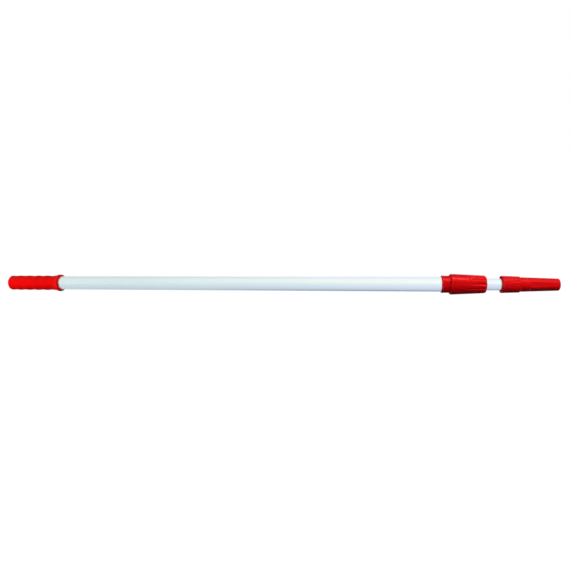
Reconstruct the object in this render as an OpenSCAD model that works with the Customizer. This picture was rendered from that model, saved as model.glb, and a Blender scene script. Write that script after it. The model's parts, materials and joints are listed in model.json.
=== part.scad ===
// Two-section telescopic pole for window cleaning tools, lying along +X.
// The closed butt of the grip is at x = 0, the tool cone points to +X, and everything turns about the X axis.

/* [Tubes] */
// Outside diameter of the outer tube
outer_d = 28; // [27:0.5:28.5]
// Wall thickness of the outer tube
outer_wall = 1.2; // [1:0.1:1.3]
// Length of the outer tube
outer_len = 926.5; // [600:0.5:1500]
// Outside diameter of the inner tube
inner_d = 22; // [21.5:0.25:22.5]
// Wall thickness of the inner tube
inner_wall = 1; // [0.8:0.1:1.2]
// Length of bare inner tube between the lock nut and the tool cone
shown_len = 26; // [26:0.5:80]
// Length of the stop sleeve on the inner tube; a longer one lets the inner tube slide out less
stop_len = 47; // [30:0.5:150]

/* [Grip] */
// Length of the grip, its closed butt and its front guard included
grip_len = 119.5; // [100:0.5:160]
// Mean thickness of the grip's wall along the tube
grip_wall = 1.2; // [1.1:0.05:2]
// Distance from one finger wave to the next
wave_pitch = 21.5; // [16:0.5:26]
// Diameter of the guard at the front of the grip
guard_d = 35.6; // [34:0.2:44]

/* [Lock] */
// Diameter of the lock nut at its wide end
nut_wide_d = 38.6; // [38.2:0.1:40]
// Diameter of the lock nut at its narrow end
nut_narrow_d = 33; // [32:0.1:34]
// Length of the lock nut
nut_len = 64; // [62:1:75]
// Number of flutes round the lock nut
nut_flutes = 12; // [8:1:14]
// Diameter of the lock body's flange
flange_d = 32.8; // [32.8:0.2:34]
// Number of slots in the collet, half from each end
collet_slots = 8; // [4:2:10]

/* [Tool cone] */
// Length of the tool cone
cone_len = 98; // [96:0.5:120]
// Length of the ribbed skirt at the cone's mouth
skirt_len = 31.5; // [30:0.5:34]
// Diameter of the bead round the cone's mouth
mouth_d = 31.8; // [31.6:0.1:32.6]
// Diameter of the taper where it leaves the skirt
taper_wide_d = 26.4; // [26:0.1:26.6]
// Diameter of the taper at its tip
taper_tip_d = 21.8; // [21.2:0.1:22]
// Number of long flats round the taper
taper_flats = 6; // [4:1:8]
// Number of fine grooves round the skirt
skirt_grooves = 24; // [12:2:30]

/* [Hidden] */
$fn = 96;

red_plastic = [0.80, 0.03, 0.03];
red_grip = [0.85, 0.05, 0.04];
anodised = [0.86, 0.88, 0.88];
white_acetal = [0.93, 0.93, 0.90];
grey_nylon = [0.30, 0.31, 0.33];
steel = [0.66, 0.67, 0.69];

// Clearances, on the radius
push_fit = 0.03;
running = 0.08;
sliding_gap = 0.2;
cut = 1; // how far a cutter runs past what it cuts

outer_r = outer_d / 2;
outer_bore_r = outer_r - outer_wall;
inner_r = inner_d / 2;
inner_bore_r = inner_r - inner_wall;

// Places along the pole
tube_start = 5;
tube_end = tube_start + outer_len;
nut_start = tube_end - 18;
nut_end = nut_start + nut_len;
cone_mouth = nut_end + shown_len;
cone_tip = cone_mouth + cone_len;

// Butt plug: a thin flange against the tube's end and a barbed spigot inside the tube
plug_back = 3;
spigot_r = outer_bore_r - 0.3;
spigot_core_r = spigot_r - 2.2;
spigot_len = 15;
barbs = 3;
barb_pitch = 4;

// Grip: a closed butt, then finger waves that grow towards a flared guard
wave_start = 9.9; // from the butt to the first valley
wave_small = 0.3;
wave_large = 0.42;
grip_mean_r = outer_r + grip_wall;
butt_round = 2.4;
guard_r = guard_d / 2;
flare_len = 20;
guard_lip = 6;
guard_round = 2.2;
grip_step = 1.5; // spacing of the points along the waves

// Lock body: flange, neck, threaded land and a nose that the collet seats in
body_start = tube_end - 32.7;
flange_len = 3.5;
flange_round = 1.2;
neck_r = outer_r + 1.95;
land_start = tube_end - 14;
land_end = tube_end + 4;
land_r = neck_r + 0.5;
nose_r = neck_r - 0.8;
nose_end = tube_end + 16;
shoulder = tube_end + 1.4; // the bush's flange lies between the tube's end and this shoulder
seat_start = tube_end + 6;
seat_small_r = inner_r + 1;
seat_large_r = inner_r + 3;
body_guide_r = inner_r + sliding_gap;
rivet_x = body_start + 9.5;
rivet_r = 1.6;
rivet_head_r = 2.5;
rivet_head_depth = 0.8;

// Mouth bush: keeps the two aluminium tubes apart, and is what the stop sleeve meets
bush_len = 18;
bush_wall_gap = 0.02;
bush_flange_r = outer_r - 0.2;

// Collet: a double taper, slotted from both ends
collet_gap = 0.15;
collet_start = seat_start + 0.6;
collet_back_len = nose_end - seat_start;
collet_mid_len = 4;
collet_front_len = 12;
collet_end = collet_start + collet_back_len + collet_mid_len + collet_front_len;
collet_bore_r = inner_r + running;
collet_mid_r = seat_large_r - collet_gap + 0.02;
collet_back_r = seat_small_r - collet_gap + 0.02;
collet_front_r = inner_r + 1.1;
slot_w = 1.6;
slot_bridge = 6;

// Lock nut
nut_wide_r = nut_wide_d / 2;
nut_narrow_r = nut_narrow_d / 2;
nut_shoulder_round = 3;
nut_end_round = 4;
nut_bore_r = land_r + 0.1;
nut_nose_r = nose_r + 0.4;
nut_mouth_r = inner_r + 0.35;
nut_lead = 0.4; // chamfer at the mouth of the bore
flute_r = 3;
flute_start = nut_start + 23;
flute_depth = 1.55;

// Inner plug, glide ring and stop sleeve at the inner end of the inner tube
plug_start = 50;
plug_flange_len = 2;
ring_len = 10;
plug_head_r = outer_bore_r - 0.4;
ring_groove_r = inner_r - 0.4;
inner_start = plug_start + 2 * plug_flange_len + ring_len + 2;
plug_spigot_len = 30;
plug_core_r = 6;
ring_split = 2;
stop_r = outer_bore_r - sliding_gap;
stop_rivet_x = inner_start + 16;
stop_rivet_r = 1.3;
stop_rivet_head_r = 2;

// Tool cone
socket_depth = 45; // how far the inner tube goes into the cone
inner_end = cone_mouth + socket_depth;
mouth_r = mouth_d / 2;
mouth_recess_r = inner_r + 2.4;
mouth_recess_len = 12;
mouth_ribs = 6;
mouth_rib_w = 1.5;
bead_len = 5;
skirt_front_r = mouth_r - 0.35;
skirt_back_r = taper_wide_d / 2 + 1.5;
skirt_end = cone_mouth + skirt_len;
skirt_groove_r = 1.1;
skirt_groove_depth = 0.35;
taper_wide_r = taper_wide_d / 2;
taper_tip_r = taper_tip_d / 2;
tip_round = 2;
tip_wall = 5;
taper_wall = 2.2;
flat_start = cone_mouth + skirt_len + 15.5;
flat_deep = 1.15;
flat_shallow = 0.25;
screw_x = cone_mouth + 20;
screw_r = 1.45;
screw_head_r = 2.8;
screw_head_len = 1.3;
screw_seat_r = skirt_back_r + 0.1;

// A point on a circle round c, as [radius from the axis, place along the axis]
function arc(c, r, from, to, steps = 6) =
    [for (i = [0:steps]) let (a = from + (to - from) * i / steps) c + r * [cos(a), sin(a)]];

function mix(a, b, t) = a + (b - a) * t;

// Radius of the grip at a distance s from its butt, and along its flare from t = 0 to 1
flare_start = grip_len - flare_len;
function wave_r(s) =
    grip_mean_r - mix(wave_small, wave_large, s / flare_start) * cos(360 * (s - wave_start) / wave_pitch);
function flare_r(t) = mix(wave_r(flare_start), guard_r, 0.6 * pow(t, 1.2) + 0.4 * pow(t, 5));

// Turns a closed outline of [radius, place along X] points about the X axis
module turned(outline) rotate([0, 90, 0]) rotate_extrude() polygon(outline);

// A tube with plain ends
module pipe(start, end, r_in, r_out)
    turned([[r_in, start], [r_out, start], [r_out, end], [r_in, end]]);

// A round bar that points away from the pole's axis, along +Y, at a place x
module radial_bar(x, r, low, high) translate([x, low, 0]) rotate([-90, 0, 0]) cylinder(r = r, h = high - low);

// Copies its children round the X axis
module round_the_axis(count) for (i = [0:count - 1]) rotate([i * 360 / count, 0, 0]) children();

// A flat cutter over a line from (x0, r0) to (x1, r1), on the +Z side
module flat_cutter(x0, r0, x1, r1) {
    dive = atan2(r0 - r1, x1 - x0);
    reach = norm([x1 - x0, r1 - r0]) + 2 * cut;
    translate([x0, 0, r0]) rotate([0, dive, 0]) translate([0, -r0, 0]) cube([reach, 2 * r0, r0]);
}

// A straight round cutter that sinks from nothing at (x0, r0) to its full depth at (x1, r1), on the +Z side
module sinking_cutter(x0, r0, x1, r1, cutter_r) {
    dive = atan2(r0 - r1, x1 - x0);
    reach = norm([x1 - x0, r1 - r0]) + 2 * cut;
    translate([x0, 0, r0 + cutter_r])
        rotate([0, dive + 90, 0])
        translate([0, 0, -cut])
        cylinder(r = cutter_r, h = reach);
}

module grip() color(red_grip) {
    butt_r = wave_r(butt_round);
    butt = arc([butt_r - butt_round, butt_round], butt_round, -90, 0, 8);
    waves = [for (s = [butt_round + grip_step:grip_step:flare_start - 0.1]) [wave_r(s), s]];
    flare = [
        for (i = [0:10])
            [flare_r(i / 10), mix(flare_start, grip_len - guard_lip, i / 10)]
    ];
    lip = arc([guard_r - guard_round, grip_len - guard_round], guard_round, 0, 90, 4);
    inside = [[outer_r + push_fit, grip_len], [outer_r + push_fit, plug_back], [0, plug_back]];
    turned(concat([[0, 0]], butt, waves, flare, lip, inside));
}

module butt_plug() color(grey_nylon) {
    flange = [
        [spigot_core_r, plug_back + 0.02],
        [outer_r - 0.5, plug_back + 0.02],
        [outer_r, plug_back + 0.5],
        [outer_r, tube_start - 0.02],
        [spigot_r, tube_start - 0.02]
    ];
    barb_points = [
        for (i = [0:barbs - 1])
            let (x = tube_start + 3 + i * barb_pitch)
            each [[spigot_r, x], [outer_bore_r - 0.05, x], [spigot_r, x + 1.6]]
    ];
    spigot = [
        [spigot_r, tube_start + spigot_len - 1],
        [spigot_r - 1, tube_start + spigot_len],
        [spigot_core_r, tube_start + spigot_len]
    ];
    turned(concat(flange, barb_points, spigot));
}

module outer_tube() color(anodised) difference() {
    pipe(tube_start, tube_end, outer_bore_r, outer_r);
    radial_bar(rivet_x, rivet_r + push_fit, outer_bore_r - cut, outer_r + cut);
}

module lock_body() color(red_plastic) difference() {
    flange_r = flange_d / 2;
    turned(concat(
        [[outer_r + push_fit, body_start]],
        arc([flange_r - flange_round, body_start + flange_round], flange_round, -90, 0, 4),
        [
            [flange_r, body_start + flange_len - 0.4],
            [flange_r - 0.4, body_start + flange_len],
            [neck_r, body_start + flange_len + 0.6],
            [neck_r, land_start - 1],
            [land_r, land_start],
            [land_r, land_end],
            [nose_r, land_end + 1],
            [nose_r, nose_end - 0.8],
            [nose_r - 0.8, nose_end],
            [seat_large_r, nose_end],
            [seat_small_r, seat_start],
            [body_guide_r, seat_start],
            [body_guide_r, shoulder],
            [outer_r + push_fit, shoulder]
        ]
    ));
    radial_bar(rivet_x, rivet_r + push_fit, outer_r - cut, neck_r + cut);
    radial_bar(rivet_x, rivet_head_r + push_fit, neck_r - rivet_head_depth, neck_r + cut);
}

module lock_body_rivet() color(steel) {
    radial_bar(rivet_x, rivet_r, outer_bore_r + 0.02, neck_r - rivet_head_depth);
    radial_bar(rivet_x, rivet_head_r, neck_r - rivet_head_depth, neck_r - 0.15);
}

module mouth_bush() color(white_acetal) turned([
    [inner_r + running + 0.04, tube_end - bush_len],
    [outer_bore_r - 0.8, tube_end - bush_len],
    [outer_bore_r - bush_wall_gap, tube_end - bush_len + 1.5],
    [outer_bore_r - bush_wall_gap, tube_end],
    [bush_flange_r, tube_end],
    [bush_flange_r, shoulder - 0.02],
    [inner_r + running + 0.04, shoulder - 0.02]
]);

module collet() color(white_acetal) difference() {
    back_end = collet_start + collet_back_len;
    front_start = back_end + collet_mid_len;
    turned([
        [collet_bore_r, collet_start],
        [collet_back_r, collet_start],
        [collet_mid_r, back_end],
        [collet_mid_r, front_start],
        [collet_front_r, collet_end],
        [collet_bore_r, collet_end]
    ]);
    pairs = collet_slots / 2;
    slot_len = collet_end - collet_start - slot_bridge + cut;
    slot_h = collet_mid_r + cut;
    round_the_axis(pairs) translate([collet_start - cut, -slot_w / 2, 0]) cube([slot_len, slot_w, slot_h]);
    rotate([180 / pairs, 0, 0]) round_the_axis(pairs)
        translate([collet_end - slot_len + cut, -slot_w / 2, 0]) cube([slot_len, slot_w, slot_h]);
}

module lock_nut() color(red_plastic) difference() {
    taper_slope = (nut_wide_r - nut_narrow_r) / (nut_len - nut_shoulder_round - nut_end_round);
    flute_run = nut_end - flute_start;
    surface_at_flute = nut_wide_r - taper_slope * (flute_start - nut_start - nut_shoulder_round);
    flute_end_r = surface_at_flute - taper_slope * flute_run - flute_depth;
    seat_end = collet_end + collet_gap;
    turned(concat(
        [[nut_bore_r + nut_lead, nut_start]],
        arc([nut_wide_r - nut_shoulder_round, nut_start + nut_shoulder_round], nut_shoulder_round, -70, 0, 6),
        arc([nut_narrow_r - nut_end_round, nut_end - nut_end_round], nut_end_round, 3, 80, 6),
        [
            [nut_mouth_r + 0.5, nut_end],
            [nut_mouth_r, nut_end - 0.5],
            [nut_mouth_r, seat_end],
            [collet_front_r + collet_gap, seat_end],
            [collet_mid_r + collet_gap, collet_end - collet_front_len + collet_gap],
            [nut_nose_r, collet_end - collet_front_len],
            [nut_nose_r, land_end + 4],
            [nut_bore_r, land_end + 3],
            [nut_bore_r, nut_start + nut_lead]
        ]
    ));
    round_the_axis(nut_flutes) sinking_cutter(flute_start, surface_at_flute, nut_end, flute_end_r, flute_r);
}

module inner_plug() color(grey_nylon) difference() {
    groove_start = plug_start + plug_flange_len;
    groove_end = groove_start + ring_len + 0.4;
    turned([
        [plug_core_r, plug_start],
        [plug_head_r - 1, plug_start],
        [plug_head_r, plug_start + 1],
        [plug_head_r, groove_start],
        [ring_groove_r, groove_start],
        [ring_groove_r, groove_end],
        [plug_head_r, groove_end],
        [plug_head_r, inner_start - 0.02],
        [inner_bore_r - push_fit, inner_start - 0.02],
        [inner_bore_r - push_fit, inner_start + plug_spigot_len - 1],
        [inner_bore_r - push_fit - 1, inner_start + plug_spigot_len],
        [plug_core_r, inner_start + plug_spigot_len]
    ]);
    radial_bar(stop_rivet_x, stop_rivet_r + push_fit, 0, inner_r);
}

module glide_ring() color(white_acetal) difference() {
    ring_start = plug_start + plug_flange_len + 0.2;
    pipe(ring_start, ring_start + ring_len, ring_groove_r + 0.1, outer_bore_r - 0.06);
    translate([ring_start - cut, -ring_split / 2, 0]) cube([ring_len + 2 * cut, ring_split, outer_r]);
}

module stop_sleeve() color(grey_nylon) difference() {
    pipe(inner_start, inner_start + stop_len, inner_r + push_fit, stop_r);
    radial_bar(stop_rivet_x, stop_rivet_r + push_fit, 0, stop_r + cut);
    radial_bar(stop_rivet_x, stop_rivet_head_r + push_fit, stop_r - 0.6, stop_r + cut);
}

module stop_rivet() color(steel) {
    radial_bar(stop_rivet_x, stop_rivet_r, plug_core_r + 0.5, stop_r - 0.6);
    radial_bar(stop_rivet_x, stop_rivet_head_r, stop_r - 0.6, stop_r - 0.2);
}

module inner_tube() color(anodised) difference() {
    pipe(inner_start, inner_end, inner_bore_r, inner_r);
    radial_bar(stop_rivet_x, stop_rivet_r + push_fit, 0, inner_r + cut);
    radial_bar(screw_x, screw_r + push_fit, 0, inner_r + cut);
}

module tool_cone() color(red_plastic) {
    taper_start = skirt_end + 1;
    taper_slope = (taper_wide_r - taper_tip_r) / (cone_tip - tip_round - taper_start);
    skirt_slope = (skirt_front_r - skirt_back_r) / (skirt_len - bead_len);
    core_wide_r = min(inner_bore_r, taper_wide_r - taper_slope * (inner_end - taper_start) - taper_wall);
    core_tip_r = taper_tip_r - taper_wall;
    groove_start_r = skirt_front_r - skirt_groove_depth;
    groove_end_r = groove_start_r - skirt_slope * (skirt_len - bead_len - 3);
    difference() {
        turned(concat(
            [[mouth_recess_r, cone_mouth + 1]],
            [[mouth_recess_r + 0.8, cone_mouth]],
            arc([mouth_r - 1.1, cone_mouth + 1.1], 1.1, -90, 30, 6),
            arc([skirt_front_r + 0.5, cone_mouth + bead_len], 0.5, 235, 180, 4),
            [[skirt_back_r, skirt_end - 0.8]],
            [[skirt_back_r - 0.8, skirt_end]],
            [[taper_wide_r, taper_start]],
            arc([taper_tip_r - tip_round, cone_tip - tip_round], tip_round, 0, 90, 5),
            [
                [0, cone_tip],
                [0, cone_tip - tip_wall],
                [core_tip_r, cone_tip - tip_wall],
                [core_wide_r, inner_end + push_fit],
                [inner_r + push_fit, inner_end + push_fit],
                [inner_r + push_fit, cone_mouth + mouth_recess_len],
                [mouth_recess_r, cone_mouth + mouth_recess_len]
            ]
        ));
        round_the_axis(skirt_grooves) sinking_cutter(
            cone_mouth + bead_len + 1, groove_start_r,
            skirt_end - 2, groove_end_r,
            skirt_groove_r
        );
        round_the_axis(taper_flats) flat_cutter(
            flat_start, taper_wide_r - taper_slope * (flat_start - taper_start) - flat_deep,
            cone_tip, taper_tip_r - flat_shallow
        );
        radial_bar(screw_x, screw_r + push_fit, inner_r - cut, mouth_r);
        radial_bar(screw_x, screw_head_r + 0.15, screw_seat_r - screw_head_len, mouth_r);
    }
    round_the_axis(mouth_ribs)
        translate([cone_mouth + 4, -mouth_rib_w / 2, inner_r + push_fit])
        cube([mouth_recess_len - 3.5, mouth_rib_w, mouth_recess_r - inner_r + 0.4]);
}

module cone_screw() color(steel) difference() {
    union() {
        radial_bar(screw_x, screw_r, inner_bore_r - 1.5, screw_seat_r - screw_head_len);
        radial_bar(screw_x, screw_head_r, screw_seat_r - screw_head_len, screw_seat_r);
    }
    for (turn = [0, 90]) translate([screw_x, screw_seat_r, 0]) rotate([0, turn, 0])
        cube([3.4, 1.6, 0.7], center = true);
}

grip();
butt_plug();
outer_tube();
lock_body();
lock_body_rivet();
mouth_bush();
collet();
lock_nut();
inner_plug();
glide_ring();
stop_sleeve();
stop_rivet();
inner_tube();
tool_cone();
cone_screw();
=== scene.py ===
"""Looks of a telescopic window cleaning pole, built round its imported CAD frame.

Lengths in the shapes are in mm.
"""

import json
import math

import bpy
from mathutils import Matrix, Vector

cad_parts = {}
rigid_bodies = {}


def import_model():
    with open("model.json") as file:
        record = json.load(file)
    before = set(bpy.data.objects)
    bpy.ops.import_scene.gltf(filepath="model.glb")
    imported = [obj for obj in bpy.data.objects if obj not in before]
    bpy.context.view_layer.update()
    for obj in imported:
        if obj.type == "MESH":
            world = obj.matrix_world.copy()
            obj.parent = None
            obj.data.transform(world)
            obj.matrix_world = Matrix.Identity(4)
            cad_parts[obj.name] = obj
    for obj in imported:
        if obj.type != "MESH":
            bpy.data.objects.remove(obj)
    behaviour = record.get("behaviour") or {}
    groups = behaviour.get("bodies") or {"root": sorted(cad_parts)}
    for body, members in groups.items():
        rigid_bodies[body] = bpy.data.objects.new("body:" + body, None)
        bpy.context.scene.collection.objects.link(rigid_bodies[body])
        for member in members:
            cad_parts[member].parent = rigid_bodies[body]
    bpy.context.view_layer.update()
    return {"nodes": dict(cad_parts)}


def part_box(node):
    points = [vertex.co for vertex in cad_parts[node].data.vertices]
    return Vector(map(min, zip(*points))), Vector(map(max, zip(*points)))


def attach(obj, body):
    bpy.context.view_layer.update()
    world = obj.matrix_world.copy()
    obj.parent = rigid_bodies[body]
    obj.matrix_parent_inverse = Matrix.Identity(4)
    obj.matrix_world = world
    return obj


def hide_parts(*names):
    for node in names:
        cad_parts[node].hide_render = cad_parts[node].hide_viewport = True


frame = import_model()
MM = 0.001

# The angle about the pole that points up, and the gap that a moulding leaves round a tube
UP = math.pi / 2
FIT_GAP = 0.03


def span(node):
    """(start, end, largest radius) of a CAD node along the pole, in mm."""
    low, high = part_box(node)
    return low[0] / MM, high[0] / MM, high[2] / MM


def mix(a, b, t):
    return a + (b - a) * t


def clamp(t):
    return max(0.0, min(1.0, t))


def smooth(t):
    t = clamp(t)
    return t * t * (3 - 2 * t)


# ---------------------------------------------------------------- shapes


def arc(x, r, radius, start, end, steps, edge=0.0):
    """Profile points round (x, r). The angle is 0 straight out from the axis and 90 towards +X."""
    points = []
    for i in range(steps + 1):
        a = math.radians(mix(start, end, i / steps))
        points.append((x + radius * math.sin(a), r + radius * math.cos(a), edge))
    return points


def run(x0, r0, x1, r1, steps, edge=0.0):
    """Evenly spaced profile points from just after the first end up to the second."""
    return [
        (mix(x0, x1, i / steps), mix(r0, r1, i / steps), edge)
        for i in range(1, steps + 1)
    ]


def finish_mesh(name, verts, faces, edges, body, replaced, material, sharp=38):
    mesh = bpy.data.meshes.new(name)
    mesh.from_pydata([(x * MM, y * MM, z * MM) for x, y, z in verts], [], faces)
    mesh.validate()
    layer = mesh.attributes.new("edge", "FLOAT", "POINT")
    layer.data.foreach_set("value", edges)
    mesh.shade_smooth()
    mesh.set_sharp_from_angle(angle=math.radians(sharp))
    mesh.materials.append(material)
    obj = bpy.data.objects.new(name, mesh)
    bpy.context.collection.objects.link(obj)
    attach(obj, body)
    if replaced:
        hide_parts(*replaced)


def lathe(profile, around, relief=None):
    """Turns a closed profile of (x, r, edge) about the X axis.

    relief(x, angle, r, index) gives (r, edge) at a point. Angle 0 faces -Y and 90 degrees is up.
    """
    verts, faces, edges, rows = [], [], [], []
    for index, (x, r, edge) in enumerate(profile):
        if r < 1e-6:
            rows.append([len(verts)])
            verts.append((x, 0.0, 0.0))
            edges.append(edge)
            continue
        row = []
        for j in range(around):
            a = 2 * math.pi * j / around
            rr, ee = relief(x, a, r, index) if relief else (r, 0.0)
            row.append(len(verts))
            verts.append((x, -rr * math.cos(a), rr * math.sin(a)))
            edges.append(max(edge, ee))
        rows.append(row)
    for i, low in enumerate(rows):
        high = rows[(i + 1) % len(rows)]
        if len(low) == 1 and len(high) == 1:
            continue
        for j in range(around):
            k = (j + 1) % around
            if len(low) == 1:
                faces.append((low[0], high[k], high[j]))
            elif len(high) == 1:
                faces.append((low[j], low[k], high[0]))
            else:
                faces.append((low[j], low[k], high[k], high[j]))
    return verts, faces, edges


def groove(r, angle, count, phase, cutter, depth):
    """(radius, edge) of a surface of radius r with round grooves of that depth, cut by a round cutter."""
    if depth <= 0:
        return r, 0.0
    step = 2 * math.pi / count
    off = (angle - phase + step / 2) % step - step / 2
    centre = r - depth + cutter
    side = centre * math.sin(off)
    if abs(side) >= cutter:
        return r, 0.0
    cut = centre * math.cos(off) - math.sqrt(cutter * cutter - side * side)
    blend = 0.16
    h = clamp(0.5 + 0.5 * (r - cut) / blend)
    low = mix(r, cut, h) - blend * h * (1 - h)
    return low, clamp(1 - abs(r - cut) / 0.3) * clamp(depth / 0.5)


def seam(angle, r, at, width=0.35, height=0.05):
    """Height of the fine mould lines at the angles in at."""
    rise = 0.0
    for a in at:
        gap = abs((angle - a + math.pi) % (2 * math.pi) - math.pi) * r
        rise = max(rise, height * clamp(1 - gap / width))
    return rise


def box_ribs(x0, x1, low, high, width, count, phase=0.0, chamfer=0.3):
    """Straight ribs that run along the pole, with their ends sloped off."""
    verts, faces = [], []
    for n in range(count):
        turn = 2 * math.pi * n / count + phase
        start = len(verts)
        for x, top in ((x0, low + 0.5), (x0 + 2.0, high), (x1, high)):
            for side, height in (
                (-width / 2, low),
                (-width / 2 + chamfer * 0.3, top - chamfer),
                (-width / 2 + chamfer, top),
                (width / 2 - chamfer, top),
                (width / 2 - chamfer * 0.3, top - chamfer),
                (width / 2, low),
            ):
                y = -height * math.cos(turn) - side * math.sin(turn)
                z = height * math.sin(turn) - side * math.cos(turn)
                verts.append((x, y, z))
        for row in range(2):
            for j in range(6):
                k = (j + 1) % 6
                a = start + row * 6
                faces.append((a + j, a + k, a + 6 + k, a + 6 + j))
        faces.append(tuple(start + j for j in reversed(range(6))))
        faces.append(tuple(start + 12 + j for j in range(6)))
    return verts, faces


# ---------------------------------------------------------------- materials


class Shader:
    """A short way to write a Principled material's node tree."""

    def __init__(self, name, base, **values):
        self.material = bpy.data.materials.new(name)
        self.material.use_nodes = True
        self.tree = self.material.node_tree
        self.bsdf = self.tree.nodes["Principled BSDF"]
        self.bsdf.inputs["Base Color"].default_value = (*base, 1)
        self.material.diffuse_color = (*base, 1)
        for key, value in values.items():
            self.bsdf.inputs[key.replace("_", " ")].default_value = value
        self.place = self.tree.nodes.new("ShaderNodeTexCoord").outputs["Object"]

    def set(self, key, source):
        self.tree.links.new(source, self.bsdf.inputs[key])

    def node(self, kind, inputs=None, **settings):
        made = self.tree.nodes.new(kind)
        for key, value in settings.items():
            setattr(made, key, value)
        for key, value in (inputs or {}).items():
            if isinstance(value, bpy.types.NodeSocket):
                self.tree.links.new(value, made.inputs[key])
            else:
                made.inputs[key].default_value = value
        return made

    def scaled(self, x, y, z):
        return self.node(
            "ShaderNodeMapping", {"Vector": self.place, "Scale": (x, y, z)}
        ).outputs["Vector"]

    def noise(self, scale, detail=2.0, rough=0.5, at=None, warp=0.0):
        made = self.node(
            "ShaderNodeTexNoise",
            {
                "Vector": at or self.place,
                "Scale": scale,
                "Detail": detail,
                "Roughness": rough,
                "Distortion": warp,
            },
        )
        return made.outputs["Fac"]

    def ramp(self, source, low, high, to_low, to_high):
        made = self.node(
            "ShaderNodeMapRange",
            {
                "Value": source,
                "From Min": low,
                "From Max": high,
                "To Min": to_low,
                "To Max": to_high,
            },
        )
        return made.outputs["Result"]

    def math(self, how, a, b):
        return self.node("ShaderNodeMath", {0: a, 1: b}, operation=how).outputs[0]

    def blend(self, factor, a, b):
        made = self.node("ShaderNodeMix", data_type="RGBA")
        for socket, value in zip(
            (made.inputs[0], made.inputs[6], made.inputs[7]), (factor, a, b)
        ):
            if isinstance(value, bpy.types.NodeSocket):
                self.tree.links.new(value, socket)
            elif isinstance(value, (int, float)):
                socket.default_value = value
            else:
                socket.default_value = (*value, 1)
        return made.outputs[2]

    def attribute(self, name):
        return self.node(
            "ShaderNodeAttribute", attribute_name=name, attribute_type="GEOMETRY"
        ).outputs["Fac"]

    def bump(self, height, distance, under=None):
        inputs = {"Height": height, "Distance": distance, "Strength": 1.0}
        made = self.node("ShaderNodeBump", inputs)
        if under:
            self.tree.links.new(under, made.inputs["Normal"])
        return made.outputs["Normal"]


def plastic(name, base, deep, worn, gloss, grain, grain_depth, specular):
    """Moulded plastic: slow colour drift, flow lines along the pole, a fine skin, paler rubbed edges."""
    m = Shader(
        name, base, Roughness=gloss, Specular_IOR_Level=specular, IOR=1.48
    )
    drift = m.ramp(m.noise(22, 3, 0.55), 0.3, 0.7, 0, 1)
    flow = m.ramp(m.noise(1, 4, 0.6, at=m.scaled(14, 260, 260)), 0.35, 0.75, 0, 1)
    colour = m.blend(m.math("MULTIPLY", drift, 0.55), base, deep)
    colour = m.blend(m.math("MULTIPLY", flow, 0.16), colour, deep)
    fleck = m.ramp(m.noise(900, 2, 0.5), 0.68, 0.8, 0, 1)
    rub = m.ramp(m.noise(120, 4, 0.65), 0.4, 0.62, 0, 1)
    edge = m.math("MULTIPLY", m.attribute("edge"), rub)
    colour = m.blend(m.math("MULTIPLY", edge, 0.55), colour, worn)
    colour = m.blend(m.math("MULTIPLY", fleck, 0.12), colour, deep)
    m.set("Base Color", colour)
    mottled = m.ramp(m.noise(160, 4, 0.6), 0.3, 0.7, gloss - 0.06, gloss + 0.08)
    m.set("Roughness", m.math("ADD", mottled, m.math("MULTIPLY", flow, 0.05)))
    skin = m.bump(m.noise(grain, 3, 0.6), grain_depth)
    handled = m.noise(1, 2, 0.5, at=m.scaled(420, 60, 60), warp=0.4)
    m.set("Normal", m.bump(handled, grain_depth * 0.7, skin))
    return m.material


def anodised(name, base, shade, gloss):
    """Drawn and anodised tube: long die lines, clouded oxide, a few scuffs along and round the tube."""
    m = Shader(
        name, base, Metallic=0.85, Roughness=gloss, Anisotropic=0.35, IOR=1.5
    )
    lines = m.noise(1, 5, 0.7, at=m.scaled(1.2, 1900, 1900))
    bands = m.noise(1, 3, 0.5, at=m.scaled(3.0, 240, 240))
    cloud = m.noise(9, 3, 0.5, at=m.scaled(0.6, 3, 3))
    colour = m.blend(m.ramp(lines, 0.3, 0.75, 0, 0.30), base, shade)
    colour = m.blend(m.ramp(bands, 0.4, 0.75, 0, 0.22), colour, shade)
    colour = m.blend(m.ramp(cloud, 0.4, 0.8, 0, 0.25), colour, shade)
    scuff = m.noise(1, 3, 0.6, at=m.scaled(160, 18, 18), warp=1.2)
    marks = m.ramp(scuff, 0.70, 0.78, 0, 0.20)
    colour = m.blend(marks, colour, tuple(0.72 * c for c in shade))
    m.set("Base Color", colour)
    worn = m.ramp(lines, 0.3, 0.7, gloss - 0.05, gloss + 0.07)
    m.set("Roughness", m.math("ADD", worn, m.math("MULTIPLY", marks, 0.4)))
    drawn = m.bump(lines, 0.000006)
    m.set("Normal", m.bump(bands, 0.00003, drawn))
    return m.material


def plain_plastic(name, base, deep, gloss):
    """Natural or glass-filled engineering plastic of the inner pieces."""
    m = Shader(name, base, Roughness=gloss, Specular_IOR_Level=0.4)
    cloud = m.ramp(m.noise(60, 4, 0.6), 0.3, 0.7, 0, 0.6)
    fibre = m.ramp(m.noise(1, 3, 0.6, at=m.scaled(300, 1600, 1600)), 0.45, 0.7, 0, 0.35)
    m.set("Base Color", m.blend(fibre, m.blend(cloud, base, deep), deep))
    m.set("Roughness", m.ramp(m.noise(400, 3, 0.6), 0.3, 0.7, gloss - 0.08, gloss + 0.1))
    m.set("Normal", m.bump(m.noise(1500, 3, 0.6), 0.00002))
    return m.material


def plated(name):
    """Zinc plated steel: bluish clouds and turning marks."""
    m = Shader(name, (0.62, 0.63, 0.66), Metallic=1.0, Roughness=0.34)
    cloud = m.ramp(m.noise(500, 3, 0.6), 0.3, 0.7, 0, 1)
    m.set("Base Color", m.blend(cloud, (0.66, 0.67, 0.69), (0.46, 0.49, 0.55)))
    m.set("Roughness", m.ramp(m.noise(1400, 3, 0.6), 0.3, 0.7, 0.26, 0.46))
    m.set("Normal", m.bump(m.noise(2200, 2, 0.5), 0.00001))
    return m.material


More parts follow.
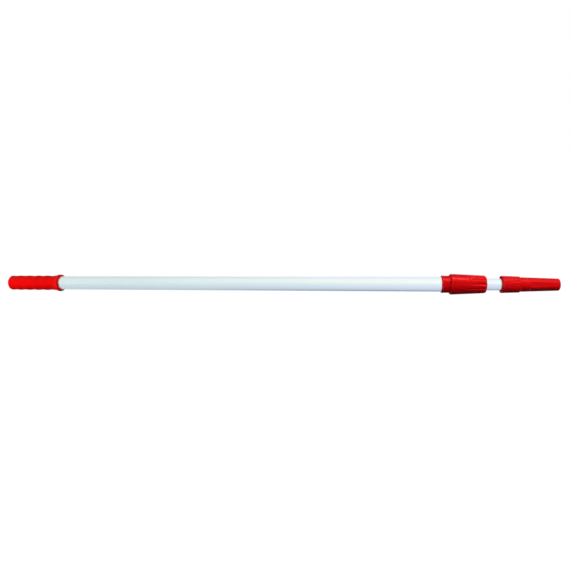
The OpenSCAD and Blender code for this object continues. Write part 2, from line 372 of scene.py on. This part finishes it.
grip_red = plastic(
    "grip_red",
    base=(0.92, 0.002, 0.002),
    deep=(0.80, 0.001, 0.001),
    worn=(0.93, 0.04, 0.03),
    gloss=0.52,
    grain=2600,
    grain_depth=0.000012,
    specular=0.025,
)
lock_red = plastic(
    "lock_red",
    base=(0.80, 0.001, 0.003),
    deep=(0.66, 0.001, 0.002),
    worn=(0.86, 0.03, 0.03),
    gloss=0.34,
    grain=3400,
    grain_depth=0.000005,
    specular=0.035,
)
cone_red = plastic(
    "cone_red",
    base=(0.82, 0.001, 0.003),
    deep=(0.68, 0.001, 0.002),
    worn=(0.88, 0.03, 0.03),
    gloss=0.38,
    grain=3400,
    grain_depth=0.000005,
    specular=0.035,
)
anodised_outer = anodised("anodised_outer", base=(0.90, 0.94, 0.95), shade=(0.76, 0.81, 0.83), gloss=0.30)
anodised_inner = anodised("anodised_inner", base=(0.88, 0.92, 0.95), shade=(0.72, 0.77, 0.81), gloss=0.27)
acetal_white = plain_plastic("acetal_white", base=(0.84, 0.84, 0.80), deep=(0.74, 0.74, 0.69), gloss=0.42)
nylon_grey = plain_plastic("nylon_grey", base=(0.07, 0.07, 0.08), deep=(0.035, 0.035, 0.04), gloss=0.55)
fastener_steel = plated("fastener_steel")

hidden_finish = {
    "butt_plug": nylon_grey,
    "mouth_bush": acetal_white,
    "collet": acetal_white,
    "inner_plug": nylon_grey,
    "glide_ring": acetal_white,
    "stop_sleeve": nylon_grey,
    "stop_rivet": fastener_steel,
    "lock_body_rivet": fastener_steel,
    "cone_screw": fastener_steel,
}
for node, finish in hidden_finish.items():
    obj = frame["nodes"][node]
    for socket in obj.material_slots:
        socket.material = finish


# ---------------------------------------------------------------- tubes

outer_start, outer_end, outer_r = span("outer_tube")
inner_start, inner_end, inner_r = span("inner_tube")
nut_start, nut_end, nut_r = span("lock_nut")
body_start = span("lock_body")[0]
cone_start, cone_end, cone_r = span("tool_cone")
_, grip_end, guard_r = span("grip")


def tube(name, start, end, wall, radius, body, node, material):
    """A drawn tube with deburred ends."""
    chamfer = 0.25
    inner = radius - wall
    profile = [(start + chamfer, radius, 1.0)]
    profile += run(start + chamfer, radius, end - chamfer, radius, 60)
    profile += [(end, radius - chamfer, 1.0), (end, inner + chamfer, 1.0), (end - chamfer, inner, 0.0)]
    profile += run(end - chamfer, inner, start + chamfer, inner, 12)
    profile += [(start, inner + chamfer, 1.0), (start, radius - chamfer, 1.0)]
    verts, faces, edges = lathe(profile, 160)
    finish_mesh(name, verts, faces, edges, body, [node], material)


tube(
    "outer_tube_drawn",
    outer_start,
    outer_end,
    wall=1.2,
    radius=outer_r,
    body="outer_section",
    node="outer_tube",
    material=anodised_outer,
)
tube(
    "inner_tube_drawn",
    inner_start,
    inner_end,
    wall=1.0,
    radius=inner_r,
    body="inner_section",
    node="inner_tube",
    material=anodised_inner,
)


# ---------------------------------------------------------------- grip

# The grip's mean radius, its finger waves, the flare that ends in a guard, and its rounded ends
GRIP_MEAN = outer_r + 1.2
WAVE_VALLEY = 9.9
WAVE_PITCH = 21.5
FLARE = 20.0
LIP = 6.0
BUTT_ROUND = 2.4
GUARD_ROUND = 2.2


def wave(s):
    """Radius at s: the finger waves grow a little towards the guard."""
    size = mix(0.3, 0.42, s / (grip_end - FLARE))
    return GRIP_MEAN - size * math.cos(2 * math.pi * (s - WAVE_VALLEY) / WAVE_PITCH)


def flare(t):
    """Radius from the last wave (0) to the guard (1)."""
    return mix(wave(grip_end - FLARE), guard_r, 0.6 * t**1.2 + 0.4 * t**5)


def make_grip():
    butt = BUTT_ROUND
    edge_r = wave(butt)
    profile = [(0.55, 0.0, 0.0), (0.5, 2.2, 0.0), (0.1, 2.6, 0.3), (0.0, 3.2, 0.3)]
    profile += run(0.0, 3.2, 0.0, edge_r - butt, 6)
    profile += arc(butt, edge_r - butt, butt, -90, 0, 14, 0.35)[1:]
    flare_start = grip_end - FLARE
    steps = 150
    for i in range(1, steps):
        s = mix(butt, flare_start, i / steps)
        profile.append((s, wave(s), 0.0))
    for i in range(25):
        t = i / 24
        profile.append((mix(flare_start, grip_end - LIP, t), flare(t), 0.5 * t**6))
    profile += arc(grip_end - GUARD_ROUND, guard_r - GUARD_ROUND, GUARD_ROUND, 0, 90, 12, 0.8)
    bore = outer_r + FIT_GAP
    profile += run(grip_end, guard_r - GUARD_ROUND, grip_end - 0.3, bore + 0.9, 6)
    profile += [(grip_end - 0.6, bore + 0.5, 0.2), (grip_end - 1.0, bore, 0.0)]
    butt_wall = 3.0
    profile += run(grip_end - 1.0, bore, butt_wall, bore, 12)
    profile += [(butt_wall, 0.0, 0.0)]

    def relief(x, a, r, index):
        if r <= bore + 0.2 or x < butt_wall:
            return r, 0.0
        line = seam(a, r, (UP, -UP), 0.4, 0.06)
        return r + line, 0.4 if line > 0.02 else 0.0

    verts, faces, edges = lathe(profile, 288, relief)
    finish_mesh("grip_moulding", verts, faces, edges, "outer_section", ["grip"], grip_red)


make_grip()


# ---------------------------------------------------------------- lock body and nut

# The lock body's neck radius and the pitch of the thread on its land
BODY_NECK = outer_r + 1.95
THREAD_PITCH = 3.0


def make_lock_body():
    bore = outer_r + FIT_GAP
    tube_end = outer_end
    rim = BODY_NECK + 0.45
    profile = [(body_start + 0.5, bore, 0.0), (body_start + 0.2, bore + 0.4, 0.3)]
    profile += run(body_start + 0.2, bore + 0.4, body_start, rim - 1.2, 4)
    profile += arc(body_start + 1.2, rim - 1.2, 1.2, -90, 0, 8, 1.0)[1:]
    profile += [(body_start + 3.1, rim, 1.0)]
    profile += arc(body_start + 4.0, BODY_NECK + 0.5, 0.5, 235, 180, 4)
    profile += run(body_start + 4.0, BODY_NECK, tube_end - 15, BODY_NECK, 56)
    profile += [(tube_end - 14, BODY_NECK + 0.5, 0.0)]
    profile += run(tube_end - 14, BODY_NECK + 0.5, tube_end + 4, BODY_NECK + 0.5, 36)
    profile += [(tube_end + 5, BODY_NECK - 0.8, 0.0)]
    profile += run(tube_end + 5, BODY_NECK - 0.8, tube_end + 15.2, BODY_NECK - 0.8, 6)
    profile += [(tube_end + 16, BODY_NECK - 1.6, 0.3), (tube_end + 16, inner_r + 3, 0.3)]
    profile += [(tube_end + 6, inner_r + 1, 0.0), (tube_end + 6, inner_r + 0.2, 0.0)]
    profile += [(tube_end + 1.4, inner_r + 0.2, 0.0), (tube_end + 1.4, bore, 0.0)]
    profile += run(tube_end + 1.4, bore, body_start + 0.5, bore, 10)[:-1]

    rivet = span("lock_body_rivet")
    rivet_x = (rivet[0] + rivet[1]) / 2

    def relief(x, a, r, index):
        on_land = tube_end - 14 < x < tube_end + 4 and r > BODY_NECK
        if on_land:
            turn = (x / THREAD_PITCH - a / (2 * math.pi)) % 1.0
            r -= 0.45 * clamp(2.4 * abs(turn - 0.5) - 0.25)
        elif BODY_NECK - 0.1 < r < BODY_NECK + 0.1:
            line = seam(a, r, (UP, -UP), 0.3, 0.05)
            r += line
            side = r * math.sin(a)
            on_back = math.cos(a) < 0
            gap = math.hypot(side, x - rivet_x)
            if on_back and gap < 3.6:
                seat = (BODY_NECK - 0.82) / max(0.5, -math.cos(a))
                r = mix(seat, r, smooth((gap - 2.55) / 0.3))
        return r, 0.0

    verts, faces, edges = lathe(profile, 264, relief)
    finish_mesh(
        "lock_body_moulding", verts, faces, edges, "outer_section", ["lock_body"], lock_red
    )


NUT_NARROW = 16.5


def make_nut():
    length = nut_end - nut_start
    top, tip = 3.0, 4.0
    slope = (nut_r - NUT_NARROW) / (length - top - tip)
    bore = BODY_NECK + 0.6
    profile = [(nut_start + 0.4, bore, 0.0), (nut_start + 0.05, bore + 0.35, 0.4)]
    profile += arc(nut_start + top, nut_r - top, top, -72, 0, 12, 0.7)
    steps = 110
    for i in range(1, steps + 1):
        x = mix(nut_start + top, nut_end - tip, i / steps)
        profile.append((x, nut_r - slope * (x - nut_start - top), 0.0))
    profile += arc(nut_end - tip, NUT_NARROW - tip, tip, 2, 82, 16, 0.5)
    mouth = inner_r + 0.35
    profile += [(nut_end, mouth + 0.5, 0.5), (nut_end - 0.5, mouth, 0.0), (nut_end - 6, mouth, 0.0)]
    profile += [(nut_end - 20, mouth + 3.4, 0.0)]
    profile += [(nut_start + 28, bore - 0.9, 0.0), (nut_start + 25, bore, 0.0)]
    flute_x = nut_start + 23
    flute_r = nut_r - slope * (flute_x - nut_start - top)
    end_r = nut_r - slope * (length - top)

    def relief(x, a, r, index):
        if x <= flute_x or r < bore + 0.3 and x < nut_end - 12:
            return r, 0.0
        t = (x - flute_x) / (nut_end - flute_x)
        skin = mix(flute_r, end_r, t)
        depth = 1.55 * t**0.8
        cut, edge = groove(skin, a, 12, 0.0, 3.0, depth)
        if x > nut_end - 1.5 and r < NUT_NARROW - 3:
            return r, 0.0
        if cut < r:
            return cut, edge
        return r, edge * 0.5

    verts, faces, edges = lathe(profile, 360, relief)
    finish_mesh("lock_nut_moulding", verts, faces, edges, "nut", ["lock_nut"], lock_red)


make_lock_body()
make_nut()


# ---------------------------------------------------------------- tool cone


def make_cone():
    skirt_end = cone_start + 31.5
    bead = 5.0
    front_r = cone_r - 0.35
    back_r = 14.7
    taper_start = skirt_end + 1
    wide, narrow, tip = 13.2, 10.9, 2.0
    recess = inner_r + 2.4
    bore = inner_r + FIT_GAP
    taper_slope = (wide - narrow) / (cone_end - tip - taper_start)
    profile = [(cone_start + 1.0, recess, 0.0), (cone_start + 0.3, recess + 0.3, 0.4)]
    profile += [(cone_start, recess + 0.8, 0.6)]
    profile += arc(cone_start + 1.1, cone_r - 1.1, 1.1, -90, 25, 12, 1.0)
    profile += arc(cone_start + bead, front_r + 0.5, 0.5, 235, 180, 6)
    profile += run(cone_start + bead, front_r, skirt_end - 0.9, back_r, 85)
    profile += arc(skirt_end - 0.9, back_r - 0.7, 0.7, 10, 80, 6, 1.0)
    profile += arc(taper_start + 0.1, wide + 0.6, 0.6, 255, 182, 5)
    steps = 110
    for i in range(1, steps + 1):
        x = mix(taper_start + 0.2, cone_end - tip, i / steps)
        profile.append((x, wide - taper_slope * (x - taper_start), 0.0))
    profile += arc(cone_end - tip, narrow - tip, tip, 4, 90, 12, 0.7)
    profile += [(cone_end, 4.0, 0.1), (cone_end - 0.35, 3.4, 0.2), (cone_end - 0.4, 1.4, 0.0)]
    profile += [(cone_end - 0.1, 0.9, 0.0), (cone_end - 0.05, 0.0, 0.0)]

    first_inside = len(profile)
    seat = inner_end + FIT_GAP
    tip_wall = 5
    profile += [(cone_end - tip_wall, 0.0, 0.0), (cone_end - tip_wall, narrow - 2.4, 0.0)]
    profile += [(seat, inner_r - 1.2, 0.0), (seat, bore, 0.0)]
    profile += run(seat, bore, cone_start + 12, bore, 6)
    profile += [(cone_start + 12, recess - 0.4, 0.0), (cone_start + 11.6, recess, 0.0)]

    screw = span("cone_screw")
    screw_x = (screw[0] + screw[1]) / 2
    flat_x = skirt_end + 15.5
    flat_low = wide - taper_slope * (flat_x - taper_start) - 1.15

    def relief(x, a, r, index):
        edge = 0.0
        if index >= first_inside:
            return r, 0.0
        if cone_start + bead + 1 < x < skirt_end - 1.2:
            t = smooth((x - cone_start - bead - 1) / 2.5) * smooth((skirt_end - 1.2 - x) / 2.5)
            r, edge = groove(r, a, 24, 0.0, 1.1, 0.36 * t)
            if math.cos(a) < 0:
                gap = math.hypot(r * math.sin(a), x - screw_x)
                r = mix(13.45 / max(0.5, -math.cos(a)), r, smooth((gap - 2.95) / 0.25))
        elif x > flat_x and r > 4.5:
            t = (x - flat_x) / (cone_end - flat_x)
            plane = mix(flat_low, narrow - 0.25, t)
            off = (a - UP + math.pi / 6) % (math.pi / 3) - math.pi / 6
            cut = mix(r, plane / math.cos(off), smooth((x - flat_x) / 2.8))
            h = clamp(0.5 + 0.5 * (r - cut) / 0.2)
            edge = clamp(1 - abs(r - cut) / 0.25) * 0.6
            r = mix(r, cut, h) - 0.2 * h * (1 - h)
        return r, edge

    verts, faces, edges = lathe(profile, 384, relief)
    finish_mesh(
        "tool_cone_moulding", verts, faces, edges, "inner_section", ["tool_cone"], cone_red
    )
    ribs, rib_faces = box_ribs(
        cone_start + 4, cone_start + 12, low=bore, high=recess + 0.2, width=1.5, count=6, phase=UP
    )
    rib_edges = [0.2] * len(ribs)
    finish_mesh(
        "tool_cone_mouth_ribs", ribs, rib_faces, rib_edges, "inner_section", [], cone_red
    )


make_cone()


# ---------------------------------------------------------------- floor, light and camera


# The room as gloss sees it, in two ramps: one for what lies towards +X and one for what lies towards -X.
# A ramp runs from straight towards DARK_SIDE (0) to straight away from it (1).
DARK_SIDE = (0, 0.17, -0.98)
ROOM_RIGHT = [
    (0.0, (0.35, 0.39, 0.46)),
    (0.03, (0.50, 0.57, 0.68)),
    (0.08, (0.67, 0.77, 0.92)),
    (0.16, (0.74, 0.85, 1.0)),
    (0.3, (0.76, 0.86, 1.02)),
    (0.45, (0.84, 0.92, 1.03)),
    (0.82, (0.90, 0.97, 1.02)),
    (0.93, (1.05, 1.09, 1.05)),
]
ROOM_LEFT = [
    (0.0, (0.65, 0.78, 0.81)),
    (0.16, (0.66, 0.79, 0.82)),
    (0.45, (0.68, 0.80, 0.82)),
    (0.82, (0.71, 0.84, 0.82)),
    (0.93, (0.77, 0.89, 0.84)),
]


def floor():
    """A pale glowing floor that runs to the horizon, well below the pole.

    The camera sees it. It lights nothing and shows in no reflection.
    """
    verts, faces = [(0, 0, 0)], []
    rings, around = [0.5, 1.5, 4, 10, 30, 90], 48
    for radius in rings:
        for j in range(around):
            a = 2 * math.pi * j / around
            verts.append((radius * math.cos(a), radius * math.sin(a), 0))
    for j in range(around):
        faces.append((0, 1 + j, 1 + (j + 1) % around))
    for i in range(len(rings) - 1):
        for j in range(around):
            k = (j + 1) % around
            low, high = 1 + i * around, 1 + (i + 1) * around
            faces.append((low + j, high + j, high + k, low + k))
    mesh = bpy.data.meshes.new("floor")
    mesh.from_pydata(verts, [], faces)
    m = Shader("floor_pale", (0.03, 0.03, 0.03), Roughness=0.9, Specular_IOR_Level=0.0)
    m.bsdf.inputs["Emission Color"].default_value = (1, 1, 1, 1)
    m.bsdf.inputs["Emission Strength"].default_value = 1.0
    m.set("Normal", m.bump(m.noise(300, 3, 0.6), 0.0001))
    mesh.materials.append(m.material)
    obj = bpy.data.objects.new("floor", mesh)
    obj.location = (0.55, 0, -0.6)
    bpy.context.collection.objects.link(obj)
    obj.visible_diffuse = False
    obj.visible_glossy = False


def world():
    """A room that is plain white to the camera and coloured to gloss. Matt surfaces see none of it."""
    made = bpy.data.worlds.new("studio")
    bpy.context.scene.world = made
    made.use_nodes = True
    made.cycles_visibility.diffuse = False
    nodes, links = made.node_tree.nodes, made.node_tree.links
    room = nodes["Background"]
    place = nodes.new("ShaderNodeTexCoord").outputs["Generated"]

    def ramp(source, stops):
        made_ramp = nodes.new("ShaderNodeValToRGB")
        links.new(source, made_ramp.inputs["Fac"])
        ends = made_ramp.color_ramp.elements
        for position, colour in stops[1:-1]:
            ends.new(position).color = (*colour, 1)
        ends[0].position, ends[0].color = stops[0][0], (*stops[0][1], 1)
        ends[-1].position, ends[-1].color = stops[-1][0], (*stops[-1][1], 1)
        return made_ramp.outputs["Color"]

    towards_dark = nodes.new("ShaderNodeVectorMath")
    towards_dark.operation = "DOT_PRODUCT"
    towards_dark.inputs[1].default_value = Vector(DARK_SIDE).normalized()
    links.new(place, towards_dark.inputs[0])
    from_dark = nodes.new("ShaderNodeMapRange")
    from_dark.inputs["From Min"].default_value = 1
    from_dark.inputs["From Max"].default_value = -1
    links.new(towards_dark.outputs["Value"], from_dark.inputs["Value"])
    split = nodes.new("ShaderNodeSeparateXYZ")
    links.new(place, split.inputs[0])
    along = nodes.new("ShaderNodeMapRange")
    along.inputs["From Min"].default_value = -0.5
    along.inputs["From Max"].default_value = -0.1
    links.new(split.outputs["X"], along.inputs["Value"])

    sides = nodes.new("ShaderNodeMix")
    sides.data_type = "RGBA"
    links.new(along.outputs["Result"], sides.inputs[0])
    links.new(ramp(from_dark.outputs["Result"], ROOM_LEFT), sides.inputs[6])
    links.new(ramp(from_dark.outputs["Result"], ROOM_RIGHT), sides.inputs[7])
    links.new(sides.outputs[2], room.inputs["Color"])

    white = nodes.new("ShaderNodeBackground")
    white.inputs["Color"].default_value = (1, 1, 1, 1)
    seen = nodes.new("ShaderNodeLightPath").outputs["Is Camera Ray"]
    choose = nodes.new("ShaderNodeMixShader")
    links.new(seen, choose.inputs[0])
    links.new(room.outputs[0], choose.inputs[1])
    links.new(white.outputs[0], choose.inputs[2])
    links.new(choose.outputs[0], nodes["World Output"].inputs["Surface"])


def softbox(name, place, aim, width, height, radiance, gloss=False, colour=(1, 1, 1)):
    """A rectangular light. It lights the matt surfaces or, with gloss, is only seen in reflections."""
    data = bpy.data.lights.new(name, "AREA")
    data.shape = "RECTANGLE"
    data.size, data.size_y = width, height
    data.energy = radiance * width * height * math.pi
    data.color = colour
    obj = bpy.data.objects.new(name, data)
    obj.location = place
    obj.rotation_euler = (Vector(aim) - Vector(place)).to_track_quat("-Z", "Y").to_euler()
    obj.visible_glossy = gloss
    obj.visible_diffuse = not gloss
    obj.visible_camera = False
    bpy.context.collection.objects.link(obj)
    return obj


# The camera's lens and sensor are in mm. It aims at a point AIM_ALONG mm from the butt and AIM_BELOW mm under
# the axis, from TUBE_WIDTHS_AWAY outer tube diameters away. YAW and RISE are in degrees. PICTURE_SLOPE is how
# far the pole drops across the picture.
LENS = 29.053
SENSOR = 36
AIM_ALONG = 604.0
AIM_BELOW = 2.661
TUBE_WIDTHS_AWAY = 32.383
YAW = 9.5
RISE = 30
PICTURE_SLOPE = 0.0042


def camera():
    """Above the pole and nearly square to it, turned a little so that the cone end is nearer."""
    yaw, rise = math.radians(YAW), math.radians(RISE)
    distance = TUBE_WIDTHS_AWAY * 2 * outer_r * MM
    level = math.cos(yaw) * math.cos(rise)
    down = math.cos(yaw) * math.sin(rise)
    look = Vector((-math.sin(yaw), level, -down)).normalized()
    pole = Vector((1, 0, 0))
    across = (pole - look * pole.dot(look)).normalized()
    turn = Matrix.Rotation(math.atan(-PICTURE_SLOPE), 3, look)
    right = turn @ across
    up = right.cross(look).normalized()
    aim = Vector((AIM_ALONG * MM, 0, 0)) - up * (AIM_BELOW * MM)
    place = aim - look * distance
    data = bpy.data.cameras.new("camera")
    data.sensor_width = SENSOR
    data.lens = LENS
    data.clip_start = 0.01
    data.clip_end = 300
    obj = bpy.data.objects.new("camera", data)
    basis = Matrix((right, up, -look)).transposed().to_4x4()
    obj.matrix_world = Matrix.Translation(place) @ basis
    bpy.context.collection.objects.link(obj)
    bpy.context.scene.camera = obj


floor()
world()
softbox("overhead", (1.5, -0.48, 1.15), aim=(0.98, 0, 0), width=0.9, height=0.7, radiance=8.6)
softbox("grip_fill", (-0.3, -0.57, 0.24), aim=(0.03, 0, 0), width=0.45, height=0.45, radiance=7.8)
softbox("back", (0.55, 1.3, -0.3), aim=(0.55, 0, 0), width=1.8, height=0.5, radiance=3.2)

# A red light that only the red plastics show, and only in their gloss
highlight = softbox(
    "highlight",
    (1.22, 0.12, 1.0),
    aim=(0.98, 0, 0),
    width=0.4,
    height=0.38,
    radiance=280.0,
    gloss=True,
    colour=(1.0, 0.09, 0.08),
)
plastics = bpy.data.collections.new("lit_by_highlight")
for obj in bpy.data.objects:
    if obj.type == "MESH" and "_moulding" in obj.name:
        plastics.objects.link(obj)
highlight.light_linking.receiver_collection = plastics
camera()

settings = bpy.context.scene.view_settings
settings.view_transform = "Standard"
settings.look = "None"
